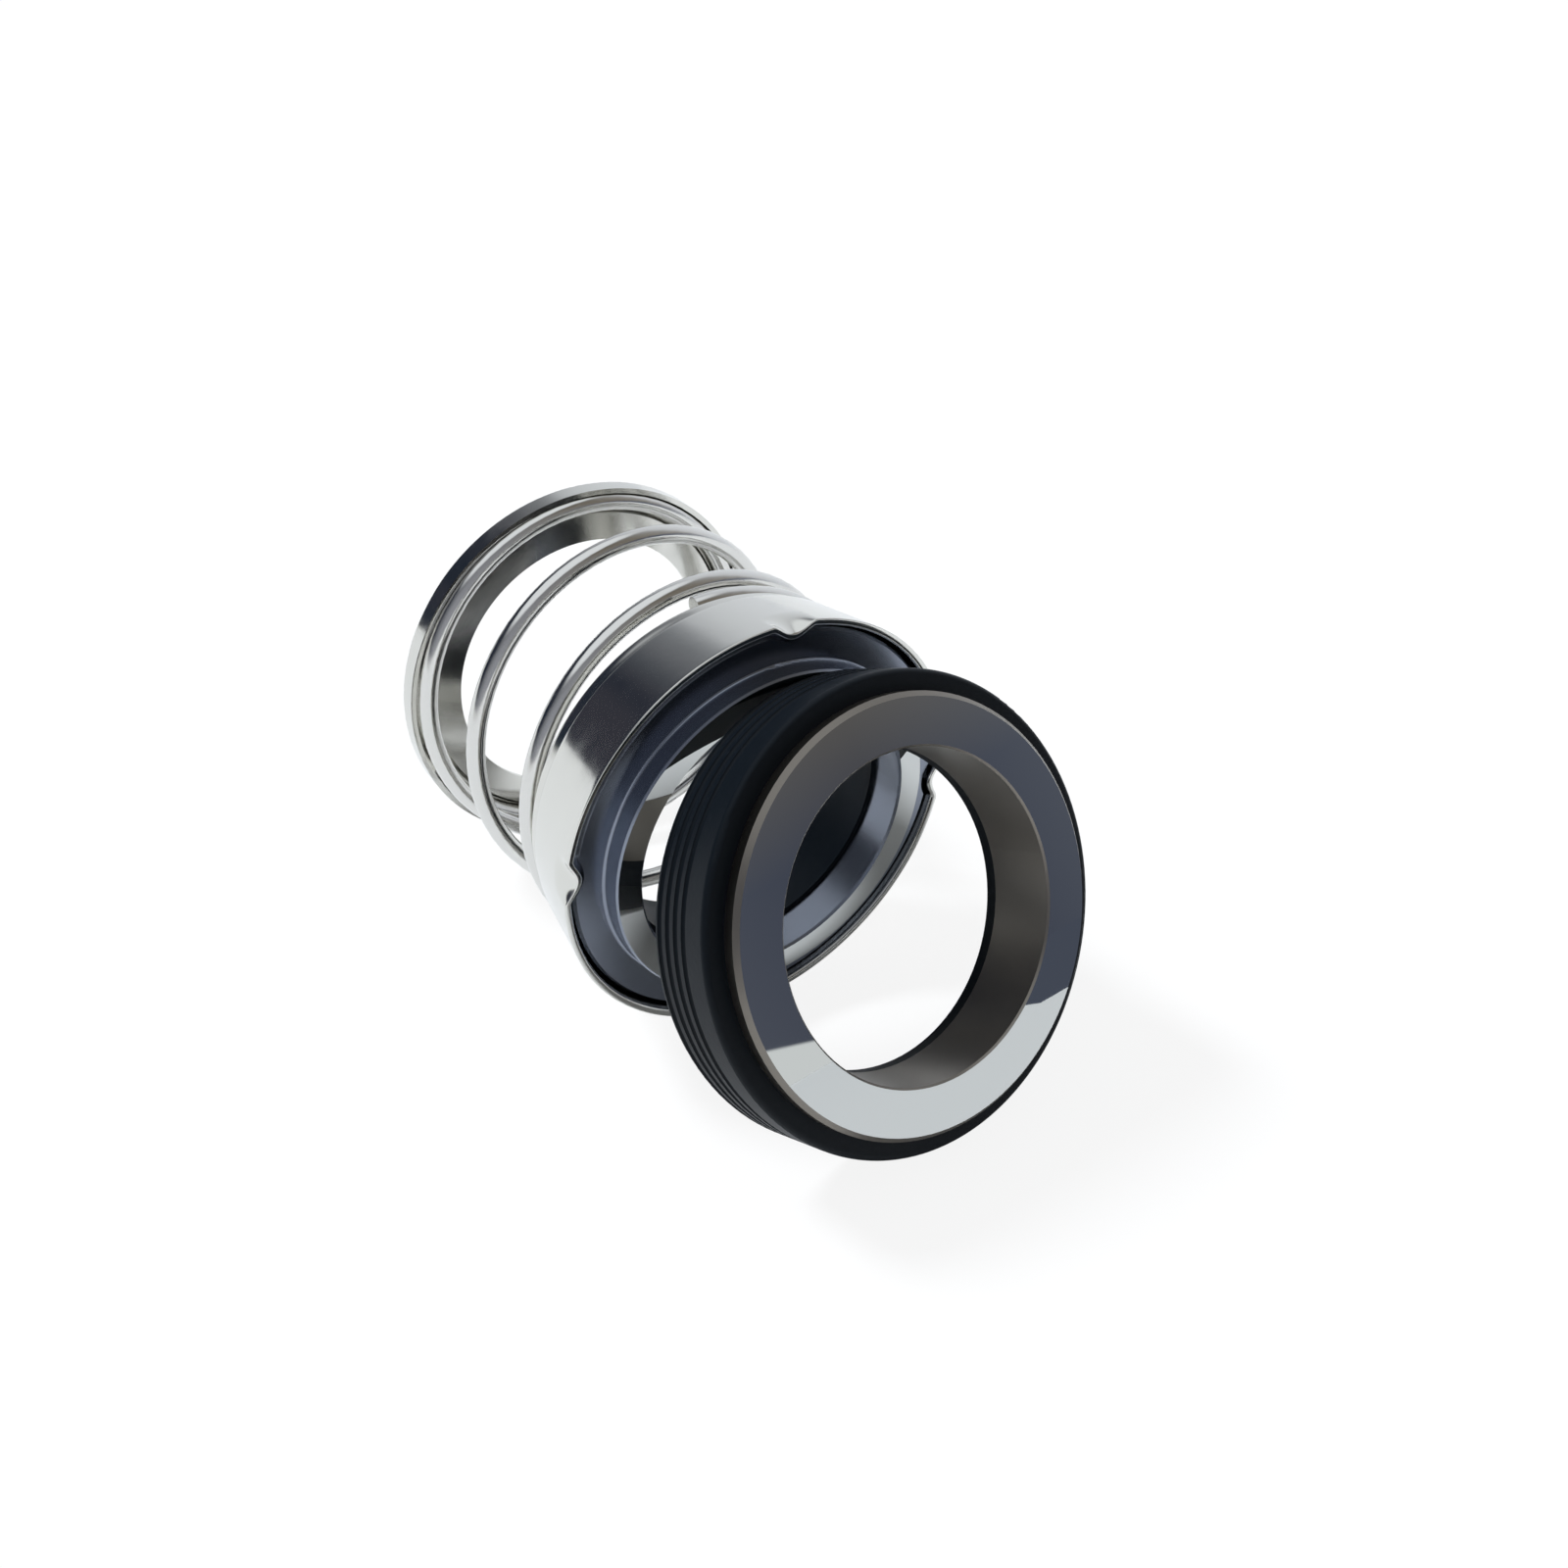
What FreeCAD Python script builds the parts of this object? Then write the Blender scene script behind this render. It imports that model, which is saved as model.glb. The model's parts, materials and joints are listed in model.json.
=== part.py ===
import FreeCAD, Part
import math
import os

import Sketcher
from FreeCAD import Vector

# Mechanical seal for a pump shaft, laid out as a set, in millimetres.
# The spring-loaded head lies on its side with its axis along Y and its lapped face towards -Y.
# The stationary seat, a hard ring in a rubber cup, leans back against the front of the head.
# The origin is the centre of the head's lapped face, and +Z is up.
# A station is a distance along an axis from a lapped face towards the back of that part.

doc = FreeCAD.newDocument("mechanical_seal")
sizes = doc.addObject("Spreadsheet::Sheet", "Sizes")

DRIVING_SIZES = (
    ("shaft_radius", 16.0, "shaft that the seal is made for"),
    ("ring_clearance", 0.35, "seal ring bore over the shaft"),
    ("ring_length", 7.6, "seal ring, lapped face to back"),
    ("nose_radius", 19.4, "outside of the raised nose that carries the lapped face"),
    ("nose_height", 2.35, "nose in front of the shoulder"),
    ("nose_chamfer", 0.2, "outer edge of the nose"),
    ("nose_root", 0.4, "rounded corner between the nose and the shoulder"),
    ("bore_chamfer", 0.25, "inner edge of the lapped face"),
    ("shoulder_chamfer", 0.35, "outer edge of the shoulder"),
    ("bore_wall", 4.4, "hard bore wall, up to the recess for the boot's collar"),
    ("collar_radius", 19.0, "boot's collar and its recess in the seal ring"),
    ("ring_gap", 0.35, "seal ring to the shell around it"),
    ("shell_sheet", 0.8, "sheet of the retainer shell"),
    ("rim_proud", 0.65, "shell's rim in front of the ring's shoulder"),
    ("rim_radius", 24.25, "outside of the shell at its rim"),
    ("wall_length", 9.25, "shell's tapered wall"),
    ("wall_draft", 1.6, "tapered wall, rim radius to back radius"),
    ("joggle_run", 0.4, "length of the joggle behind the tapered wall"),
    ("joggle_depth", 0.5, "step inwards at the joggle"),
    ("band_length", 1.55, "narrow band from the joggle to the shell's floor"),
    ("floor_clearance", 0.7, "hole in the shell's floor over the shaft"),
    ("bend_radius", 0.5, "outside bends of the shell"),
    ("dent_count", 4, "drive dents round the rim"),
    ("dent_depth", 1.3, "dent at the rim"),
    ("dent_width", 4.3, "dent at the rim"),
    ("dent_length", 2.7, "dent along the wall"),
    ("dent_turn", 6.5, "first dent from the top, in degrees towards +X"),
    ("boot_grip", 0.2, "boot's bore under the shaft's size"),
    ("boot_gap", 0.15, "boot to the shell around it"),
    ("wire_diameter", 2.1, "spring wire"),
    ("coil_inset", 0.9, "middle of the wire inside the shell's narrow band"),
    ("spring_length", 29.0, "shell's floor to the spring ring"),
    ("active_turns", 2.625, "turns between the two closed ends"),
    ("back_easing", 0.64, "turns over which the pitch grows behind"),
    ("front_easing", 0.3, "turns over which the pitch dies away in front"),
    ("back_closed", 0.5, "closed turns at the spring ring"),
    ("front_closed", 0.56, "closed turns at the shell"),
    ("lift_off", 63.0, "where the wire leaves the spring ring, in degrees from the top towards +X"),
    ("plate_sheet", 0.6, "sheet of the spring ring"),
    ("wire_fit", 0.05, "wire to the spring ring's rim"),
    ("plate_rim", 2.3, "depth of the spring ring over its rim"),
    ("land_fit", 0.2, "wire to the land that keeps it out at the rim"),
    ("land_height", 0.7, "land above the channel for the wire"),
    ("land_bevel", 0.4, "edge of the land"),
    ("plate_clearance", 0.3, "spring ring's bore over the shaft"),
    ("plate_rounding", 0.35, "back edge of the spring ring"),
    ("seat_clearance", 0.6, "seat's bore over the shaft"),
    ("seat_radius", 21.95, "outside of the hard seat ring"),
    ("seat_length", 8.0, "hard seat ring, lapped face to back"),
    ("seat_chamfer", 0.5, "outer edge of the seat's lapped face"),
    ("seat_bore_chamfer", 0.2, "inner edge of the seat's lapped face"),
    ("cup_wall", 2.2, "rubber round the hard ring"),
    ("cup_back", 2.6, "rubber behind the hard ring"),
    ("lip_setback", 1.8, "cup's lip behind the lapped face"),
    ("lip_rounding", 0.6, "outer edge of the lip"),
    ("back_rounding", 0.6, "outer edge of the cup's back"),
    ("back_chamfer", 1.3, "inner edge of the cup's back"),
    ("groove_count", 4, "fine grooves round the cup"),
    ("groove_first", 5.3, "station of the first groove"),
    ("groove_pitch", 1.4, "groove to groove"),
    ("groove_radius", 0.4, "section of a groove"),
    ("groove_depth", 0.3, "groove into the cup"),
    ("touch_height", 18.32, "where the cup's back edge meets the head's lapped face"),
    ("seat_yaw", 4.0, "seat's axis towards +X, in degrees"),
    ("seat_shift", 2.5, "cup's back beside the head's axis"),
    ("touch_gap", 0.1, "cup's back edge to the head's lapped face"),
)

sizes.set("A1", "Size")
sizes.set("B1", "Value")
sizes.set("C1", "What it is")
for row, (alias, amount, meaning) in enumerate(DRIVING_SIZES, start=2):
    sizes.set("A%d" % row, alias)
    sizes.set("B%d" % row, str(amount))
    sizes.setAlias("B%d" % row, alias)
    sizes.set("C%d" % row, meaning)
doc.recompute()


def size(alias):
    """Value of one cell of the sheet."""
    return float(sizes.get(alias))


def cells(text):
    """Turn words that are sizes into references to the sheet."""
    names = {alias for alias, amount, meaning in DRIVING_SIZES}
    out = []
    word = ""
    for mark in text + " ":
        if mark.isalpha() or mark == "_":
            word += mark
            continue
        out.append("Sizes." + word if word in names else word)
        word = ""
        out.append(mark)
    return "".join(out).strip()


def amount_of(obj, text):
    """Number that an expression of sizes comes to."""
    return float(obj.evalExpression(cells(text)))


def bind(obj, prop, text):
    """Tie one property of an object to an expression of sizes."""
    obj.setExpression(prop, cells(text))


def origin_part(body, role):
    """One plane or axis of a body's own origin."""
    return [part for part in body.Origin.OriginFeatures if part.Role == role][0]


def flat_sketch(body, name, role):
    """Empty sketch on one of the body's own planes."""
    sketch = body.newObject("Sketcher::SketchObject", name)
    sketch.AttachmentSupport = [(origin_part(body, role), "")]
    sketch.MapMode = "FlatFace"
    return sketch


def pin_point(sketch, geometry, end, across, along, name):
    """Hold one point of a sketch at a radius and a station."""
    where = {"DistanceX": across, "DistanceY": along}
    for kind, text in where.items():
        if text == "0":
            sketch.addConstraint(Sketcher.Constraint("PointOnObject", geometry, end, -1))
            continue
        number = amount_of(sketch, text)
        held = sketch.addConstraint(Sketcher.Constraint(kind, -1, 1, geometry, end, number))
        label = "%s_%s" % (name, "radius" if kind == "DistanceX" else "station")
        sketch.renameConstraint(held, label)
        bind(sketch, "Constraints." + label, text)


def held_circle(sketch, name, across, along, radius):
    """Circle of a sketch with its centre and radius tied to expressions of sizes."""
    centre = Vector(amount_of(sketch, across), amount_of(sketch, along), 0)
    round_size = amount_of(sketch, radius)
    sketch.addGeometry(Part.Circle(centre, Vector(0, 0, 1), round_size))
    pin_point(sketch, 0, 3, across, along, name)
    held = sketch.addConstraint(Sketcher.Constraint("Radius", 0, round_size))
    sketch.renameConstraint(held, name + "_size")
    bind(sketch, "Constraints." + name + "_size", radius)


def turned(label, outline):
    """Body of revolution about Y, from (radius, station) corners."""
    body = doc.addObject("PartDesign::Body", label)
    sketch = flat_sketch(body, label + "_outline", "XY_Plane")
    corners = [Vector(amount_of(sketch, radius), amount_of(sketch, station), 0) for radius, station in outline]
    for number, corner in enumerate(corners):
        sketch.addGeometry(Part.LineSegment(corner, corners[(number + 1) % len(corners)]))
    for number in range(len(corners)):
        following = (number + 1) % len(corners)
        sketch.addConstraint(Sketcher.Constraint("Coincident", number, 2, following, 1))
    for number, (radius, station) in enumerate(outline):
        pin_point(sketch, number, 1, radius, station, "corner%d" % number)
    revolve = body.newObject("PartDesign::Revolution", label + "_turned")
    revolve.Profile = sketch
    revolve.ReferenceAxis = (sketch, ["V_Axis"])
    revolve.Angle = 360
    sketch.Visibility = False
    doc.recompute()
    return body


def round_edges(body, rounding, corners):
    """Fillet the circular edges of a turned body that pass through some corners."""
    base = body.Tip
    names = []
    for number, edge in enumerate(base.Shape.Edges, start=1):
        if not isinstance(edge.Curve, Part.Circle):
            continue
        for radius, station in corners:
            near_radius = abs(edge.Curve.Radius - amount_of(sizes, radius)) < 1e-4
            near_station = abs(edge.Curve.Center.y - amount_of(sizes, station)) < 1e-4
            if near_radius and near_station:
                names.append("Edge%d" % number)
    if len(names) < len(corners):
        raise RuntimeError("an edge to round is missing on " + body.Label)
    fillet = body.newObject("PartDesign::Fillet", body.Name + "_" + rounding)
    fillet.Base = (base, names)
    bind(fillet, "Radius", rounding)
    doc.recompute()


def removed_something(before, after, label):
    """Stop if a cut left the volume as it was."""
    if after.Volume > before - 0.01:
        raise RuntimeError("a cut took nothing off " + label)


# Where the pieces of the head meet
RIM = "(nose_height - rim_proud)"
WALL_END = "(nose_height - rim_proud + wall_length)"
WALL_END_RADIUS = "(rim_radius - wall_draft)"
JOGGLE_END = "(nose_height - rim_proud + wall_length + joggle_run)"
FLOOR_OUT = "(nose_height - rim_proud + wall_length + joggle_run + band_length)"
FLOOR_IN = "(nose_height - rim_proud + wall_length + joggle_run + band_length - shell_sheet)"
TAPER = "(wall_draft / wall_length)"
BAND_RADIUS = "(rim_radius - wall_draft - joggle_depth)"


def inside_shell(station):
    """Inner radius of the shell's tapered wall at a station."""
    return "(rim_radius - shell_sheet - %s * (%s - %s))" % (TAPER, station, RIM)


# Seal ring: hard, lapped, one piece. The raised nose carries the face, and the shoulder behind it
# follows the inside of the shell. A recess behind the bore wall takes the boot's collar.
RING_BORE = "(shaft_radius + ring_clearance)"
SHOULDER_EDGE = "(nose_height + shoulder_chamfer)"
seal_ring = turned("seal_ring", [
    (RING_BORE + " + bore_chamfer", "0"),
    ("nose_radius - nose_chamfer", "0"),
    ("nose_radius", "nose_chamfer"),
    ("nose_radius", "nose_height"),
    (inside_shell("nose_height") + " - ring_gap - shoulder_chamfer", "nose_height"),
    (inside_shell(SHOULDER_EDGE) + " - ring_gap", SHOULDER_EDGE),
    (inside_shell("ring_length") + " - ring_gap", "ring_length"),
    ("collar_radius", "ring_length"),
    ("collar_radius", "bore_wall"),
    (RING_BORE, "bore_wall"),
    (RING_BORE, "bore_chamfer"),
])
round_edges(seal_ring, "nose_root", [("nose_radius", "nose_height")])

# Four notches let the shell's dents drive the ring. Each clears its dent by the ring's gap.
DENT_RADIUS = "((dent_width * dent_width / 4 + dent_depth * dent_depth) / (2 * dent_depth))"
DENT_AXIS = "(rim_radius - dent_depth + %s)" % DENT_RADIUS
plain_volume = seal_ring.Shape.Volume
notch_sketch = flat_sketch(seal_ring, "seal_ring_notch_outline", "XZ_Plane")
held_circle(notch_sketch, "notch", DENT_AXIS + " * sin(dent_turn)", DENT_AXIS + " * cos(dent_turn)",
            DENT_RADIUS + " + shell_sheet + ring_gap")
notch = seal_ring.newObject("PartDesign::Pocket", "seal_ring_notch")
notch.Profile = notch_sketch
notch.Type = "Length"
bind(notch, "Length", RIM + " + dent_length + ring_gap")
doc.recompute()
notches = seal_ring.newObject("PartDesign::PolarPattern", "seal_ring_notches")
notches.Originals = [notch]
notches.Axis = (origin_part(seal_ring, "Y_Axis"), [""])
notches.Angle = 360
bind(notches, "Occurrences", "dent_count")
seal_ring.Tip = notches
doc.recompute()
removed_something(plain_volume, seal_ring.Shape, "seal_ring")

# Retainer shell: one stamping with a tapered wall, a joggle, a narrow band and a holed floor.
FLOOR_BORE = "(shaft_radius + floor_clearance)"
shell_blank = turned("retainer_blank", [
    ("rim_radius - shell_sheet", RIM),
    ("rim_radius", RIM),
    (WALL_END_RADIUS, WALL_END),
    (BAND_RADIUS, JOGGLE_END),
    (BAND_RADIUS, FLOOR_OUT),
    (FLOOR_BORE, FLOOR_OUT),
    (FLOOR_BORE, FLOOR_IN),
    (BAND_RADIUS + " - shell_sheet", FLOOR_IN),
    (BAND_RADIUS + " - shell_sheet", JOGGLE_END),
    (WALL_END_RADIUS + " - shell_sheet", WALL_END),
])
round_edges(shell_blank, "bend_radius", [(BAND_RADIUS, FLOOR_OUT)])

# Each dent is a trough pressed in from outside, deepest at the rim, with the sheet's thickness
# carried through to a bump inside. Both come from cylinders on one slanting axis.
DENT_SLANT = "atan(dent_depth / dent_length - %s)" % TAPER
TOP_AT = "placement(vector(0; 0; 0); vector(0; 1; 0); dent_turn + %g)"
LEANING = ("placement(vector(0; %s - dent_length * cos(%s); %s - dent_length * sin(%s));"
           " vector(1; 0; 0); %s - 90 deg)" % (RIM, DENT_SLANT, DENT_AXIS, DENT_SLANT, DENT_SLANT))


def dent_cylinder(name, radius, turn):
    """Cylinder that runs out of the shell's wall behind a dent."""
    tool = doc.addObject("Part::Cylinder", name)
    bind(tool, "Radius", radius)
    bind(tool, "Height", "4 * dent_length")
    bind(tool, "Placement", TOP_AT % turn + " * " + LEANING)
    return tool


bumps = []
troughs = []
for number in range(int(size("dent_count"))):
    turn = 360.0 * number / size("dent_count")
    bumps.append(dent_cylinder("dent_bump_%d" % number, DENT_RADIUS + " + shell_sheet", turn))
    troughs.append(dent_cylinder("dent_trough_%d" % number, DENT_RADIUS, turn))
wall_cone = doc.addObject("Part::Cone", "retainer_wall_cone")
bind(wall_cone, "Radius1", "rim_radius")
bind(wall_cone, "Radius2", WALL_END_RADIUS)
bind(wall_cone, "Height", "wall_length")
bind(wall_cone, "Placement", "placement(vector(0; %s; 0); vector(1; 0; 0); -90)" % RIM)
all_bumps = doc.addObject("Part::MultiFuse", "dent_bumps")
all_bumps.Shapes = bumps
inner_bumps = doc.addObject("Part::Common", "dent_bumps_inside")
inner_bumps.Base = wall_cone
inner_bumps.Tool = all_bumps
bumped_shell = doc.addObject("Part::Fuse", "retainer_bumped")
bumped_shell.Base = shell_blank
bumped_shell.Tool = inner_bumps
all_troughs = doc.addObject("Part::MultiFuse", "dent_troughs")
all_troughs.Shapes = troughs
retainer_shell = doc.addObject("Part::Cut", "retainer_shell")
retainer_shell.Base = bumped_shell
retainer_shell.Tool = all_troughs
doc.recompute()
removed_something(bumped_shell.Shape.Volume, retainer_shell.Shape, "retainer_shell")

# Rubber boot: grips the shaft, fills the ring's recess with its collar and backs on the floor.
BOOT_BORE = "(shaft_radius - boot_grip)"
rubber_boot = turned("rubber_boot", [
    (BOOT_BORE, "bore_wall"),
    ("collar_radius", "bore_wall"),
    ("collar_radius", "ring_length"),
    (inside_shell("ring_length") + " - boot_gap", "ring_length"),
    (WALL_END_RADIUS + " - shell_sheet - boot_gap", WALL_END),
    (BAND_RADIUS + " - shell_sheet - boot_gap", JOGGLE_END),
    (BAND_RADIUS + " - shell_sheet - boot_gap", FLOOR_IN),
    (BOOT_BORE, FLOOR_IN),
])

# Spring ring: a shallow cup with a channel for the last turn of wire and a land inside it.
CHANNEL = "(%s + spring_length)" % FLOOR_OUT
PLATE_BACK = "(%s + plate_sheet)" % CHANNEL
LAND_FACE = "(%s - land_height)" % CHANNEL
PLATE_BORE = "(shaft_radius + plate_clearance)"
COIL_RADIUS = "(%s - coil_inset)" % BAND_RADIUS
PLATE_INSIDE = "(%s + wire_diameter / 2 + wire_fit)" % COIL_RADIUS
PLATE_RADIUS = "(%s + plate_sheet)" % PLATE_INSIDE
LAND_RADIUS = "(%s - wire_diameter / 2 - land_fit)" % COIL_RADIUS
spring_ring = turned("spring_ring", [
    (PLATE_RADIUS, PLATE_BACK + " - plate_rim"),
    (PLATE_RADIUS, PLATE_BACK),
    (LAND_RADIUS + " - plate_sheet", PLATE_BACK),
    (LAND_RADIUS + " - plate_sheet", LAND_FACE + " + plate_sheet"),
    (PLATE_BORE, LAND_FACE + " + plate_sheet"),
    (PLATE_BORE, LAND_FACE),
    (LAND_RADIUS + " - land_bevel", LAND_FACE),
    (LAND_RADIUS, LAND_FACE + " + land_bevel"),
    (LAND_RADIUS, CHANNEL),
    (PLATE_INSIDE, CHANNEL),
    (PLATE_INSIDE, PLATE_BACK + " - plate_rim"),
])
round_edges(spring_ring, "plate_rounding", [(PLATE_RADIUS, PLATE_BACK)])


def spring_path():
    """Middle of the wire, wound right-handed from the spring ring to the shell."""
    wire = size("wire_diameter")
    coil_radius = amount_of(sizes, COIL_RADIUS)
    back = amount_of(sizes, CHANNEL) - wire / 2
    front = amount_of(sizes, FLOOR_OUT) + wire / 2
    active = size("active_turns")
    grow = size("back_easing")
    fade = size("front_easing")
    pitch = (back - front) / (active - grow / 2 - fade / 2)

    def station(turn):
        if turn <= 0:
            return back
        if turn < grow:
            return back - pitch * turn * turn / (2 * grow)
        if turn < active - fade:
            return back - pitch * (turn - grow / 2)
        if turn < active:
            return front + pitch * (active - turn) ** 2 / (2 * fade)
        return front

    start = -size("back_closed")
    end = active + size("front_closed")
    steps = int(math.ceil((end - start) * 30))
    points = []
    for step in range(steps + 1):
        turn = start + (end - start) * step / steps
        around = math.radians(360 * turn - size("lift_off"))
        points.append(Vector(-coil_radius * math.sin(around), station(turn), coil_radius * math.cos(around)))
    return points


# Coil spring: one length of round wire with closed ends, not ground.
wire_points = spring_path()
wire_line = Part.BSplineCurve()
wire_line.interpolate(wire_points)
section_plane = wire_line.tangent(wire_line.FirstParameter)[0]
section = Part.Wire(Part.Circle(wire_points[0], section_plane, size("wire_diameter") / 2).toShape())
coil_spring = doc.addObject("Part::Feature", "coil_spring")
coil_spring.Shape = Part.Wire(wire_line.toShape()).makePipeShell([section], True, True)

# Seat: face at the local origin, looking to local -Y, and back at +Y.
SEAT_BORE = "(shaft_radius + seat_clearance)"
CUP_END = "(seat_length + cup_back)"
CUP_RADIUS = "(seat_radius + cup_wall)"
seat_ring = turned("seat_ring", [
    (SEAT_BORE + " + seat_bore_chamfer", "0"),
    ("seat_radius - seat_chamfer", "0"),
    ("seat_radius", "seat_chamfer"),
    ("seat_radius", "seat_length"),
    (SEAT_BORE, "seat_length"),
    (SEAT_BORE, "seat_bore_chamfer"),
])

# Rubber cup: holds the seat ring and presses into the housing, with fine grooves near its back.
seat_cup = turned("seat_rubber_cup", [
    ("seat_radius", "lip_setback"),
    (CUP_RADIUS, "lip_setback"),
    (CUP_RADIUS, CUP_END),
    (SEAT_BORE + " + back_chamfer", CUP_END),
    (SEAT_BORE, CUP_END + " - back_chamfer"),
    (SEAT_BORE, "seat_length"),
    ("seat_radius", "seat_length"),
])
round_edges(seat_cup, "lip_rounding", [(CUP_RADIUS, "lip_setback")])
round_edges(seat_cup, "back_rounding", [(CUP_RADIUS, CUP_END)])
smooth_volume = seat_cup.Shape.Volume
groove_sketch = flat_sketch(seat_cup, "seat_cup_groove_outline", "XY_Plane")
held_circle(groove_sketch, "groove", CUP_RADIUS + " + groove_radius - groove_depth", "groove_first",
            "groove_radius")
groove = seat_cup.newObject("PartDesign::Groove", "seat_cup_groove")
groove.Profile = groove_sketch
groove.ReferenceAxis = (groove_sketch, ["V_Axis"])
groove.Angle = 360
doc.recompute()
grooves = seat_cup.newObject("PartDesign::LinearPattern", "seat_cup_grooves")
grooves.Originals = [groove]
grooves.Direction = (origin_part(seat_cup, "Y_Axis"), [""])
bind(grooves, "Length", "groove_pitch * (groove_count - 1)")
bind(grooves, "Occurrences", "groove_count")
seat_cup.Tip = grooves
doc.recompute()
removed_something(smooth_volume, seat_cup.Shape, "seat_rubber_cup")

# The seat stands on the back edge of its cup, level with the lowest point of the shell's rim,
# and leans until that edge meets the head's lapped face.
EDGE_RING = "(%s - back_rounding)" % CUP_RADIUS
EDGE_STATION = "(%s - back_rounding)" % CUP_END
LEAN = "acos((touch_height + rim_radius - back_rounding) / (2 * %s))" % EDGE_RING
AXIS_X = "(cos(%s) * sin(seat_yaw))" % LEAN
AXIS_Y = "(cos(%s) * cos(seat_yaw))" % LEAN
AXIS_Z = "sin(%s)" % LEAN
EDGE_Y = "(0 - touch_gap - back_rounding - %s * sqrt(1 - %s * %s))" % (EDGE_RING, AXIS_Y, AXIS_Y)
EDGE_Z = "(back_rounding - rim_radius + %s * sqrt(1 - %s * %s))" % (EDGE_RING, AXIS_Z, AXIS_Z)
FACE_X = "seat_shift + %s * %s" % (EDGE_STATION, AXIS_X)
FACE_Y = "%s - %s * %s" % (EDGE_Y, EDGE_STATION, AXIS_Y)
FACE_Z = "%s + %s * %s" % (EDGE_Z, EDGE_STATION, AXIS_Z)
TURN_TO_SIDE = "placement(vector(%s; %s; %s); vector(0; 0; 1); seat_yaw)" % (FACE_X, FACE_Y, FACE_Z)
LEAN_BACK = "placement(vector(0; 0; 0); vector(1; 0; 0); 0 deg - %s)" % LEAN
for piece in (seat_ring, seat_cup):
    bind(piece, "Placement", TURN_TO_SIDE + " * " + LEAN_BACK)
doc.recompute()

NODES = (seal_ring, retainer_shell, rubber_boot, coil_spring, spring_ring, seat_ring, seat_cup)

for obj in doc.Objects:
    if "Invalid" in obj.State or "Error" in obj.State:
        raise RuntimeError("failed: " + obj.Label)
for node in NODES:
    if node.Shape.isNull() or not node.Shape.isValid() or len(node.Shape.Solids) != 1:
        raise RuntimeError("not one valid solid: " + node.Label)

os.makedirs("parts", exist_ok=True)
for node in NODES:
    node.Shape.exportStep(os.path.join("parts", node.Label + ".step"))
    box = node.Shape.BoundBox
    print("%-16s %9.1f mm3  y %7.2f to %7.2f  z %7.2f to %7.2f"
          % (node.Label, node.Shape.Volume, box.YMin, box.YMax, box.ZMin, box.ZMax))
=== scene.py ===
import json
import math

import bpy
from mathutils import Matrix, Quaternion, Vector


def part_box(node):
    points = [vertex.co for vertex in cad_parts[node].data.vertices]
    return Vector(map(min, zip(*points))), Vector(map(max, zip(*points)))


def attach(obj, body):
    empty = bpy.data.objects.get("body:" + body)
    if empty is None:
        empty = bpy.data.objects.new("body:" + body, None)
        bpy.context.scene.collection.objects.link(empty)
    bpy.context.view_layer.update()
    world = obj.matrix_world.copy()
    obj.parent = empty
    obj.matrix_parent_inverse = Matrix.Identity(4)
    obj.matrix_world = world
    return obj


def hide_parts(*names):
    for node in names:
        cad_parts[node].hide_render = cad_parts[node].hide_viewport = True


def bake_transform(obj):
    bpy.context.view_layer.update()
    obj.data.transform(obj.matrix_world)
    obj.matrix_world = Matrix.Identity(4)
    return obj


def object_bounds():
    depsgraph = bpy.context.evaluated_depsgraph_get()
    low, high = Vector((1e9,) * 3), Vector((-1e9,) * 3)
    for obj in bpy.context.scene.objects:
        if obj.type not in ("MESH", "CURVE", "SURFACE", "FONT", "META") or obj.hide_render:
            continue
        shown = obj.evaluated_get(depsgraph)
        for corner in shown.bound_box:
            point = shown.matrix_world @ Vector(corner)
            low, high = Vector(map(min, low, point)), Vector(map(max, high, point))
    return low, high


# A mechanical seal for a pump shaft, laid out as a set: the spring-loaded head lies on its side with its
# axis along Y, and the stationary seat leans back against it. Everything is in metres, in the CAD's frame.
MM = 0.001

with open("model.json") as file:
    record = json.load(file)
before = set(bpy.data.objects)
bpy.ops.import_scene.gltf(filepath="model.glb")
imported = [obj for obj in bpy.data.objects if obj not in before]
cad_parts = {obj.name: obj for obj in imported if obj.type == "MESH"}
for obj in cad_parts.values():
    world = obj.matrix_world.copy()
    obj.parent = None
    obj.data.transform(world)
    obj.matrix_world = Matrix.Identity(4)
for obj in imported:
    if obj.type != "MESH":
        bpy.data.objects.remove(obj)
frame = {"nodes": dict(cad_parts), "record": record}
cad_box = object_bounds()
nodes = frame["nodes"]


# Seal ring: the turning ring of the pair, tungsten carbide pressed and sintered in one piece. Its sides
# and shoulder are ground to a satin grey, and the face of its raised nose is lapped flat like a mirror.
def linear(code):
    """Linear colour with full alpha, from an sRGB hex code."""
    shares = [int(code[place:place + 2], 16) / 255 for place in (1, 3, 5)]
    levels = [share / 12.92 if share <= 0.04045 else ((share + 0.055) / 1.055) ** 2.4 for share in shares]
    return levels + [1.0]


def add_node(tree, kind, settings, links):
    """One node of a tree, with its own properties, its sockets' values and what feeds its sockets."""
    node = tree.nodes.new(kind)
    for name, value in settings.items():
        if isinstance(name, int) or name in node.inputs:
            node.inputs[name].default_value = value
        else:
            setattr(node, name, value)
    for name, source in links.items():
        tree.links.new(source, node.inputs[name])
    return node


def new_finish(name, sockets):
    """Material with one Principled shader, and its node tree and shader."""
    material = bpy.data.materials.new(name)
    material.use_nodes = True
    shader = material.node_tree.nodes["Principled BSDF"]
    for socket, value in sockets.items():
        shader.inputs[socket].default_value = value
    return material, material.node_tree, shader


NOISE_LOW = 0.3
NOISE_HIGH = 0.7


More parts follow.
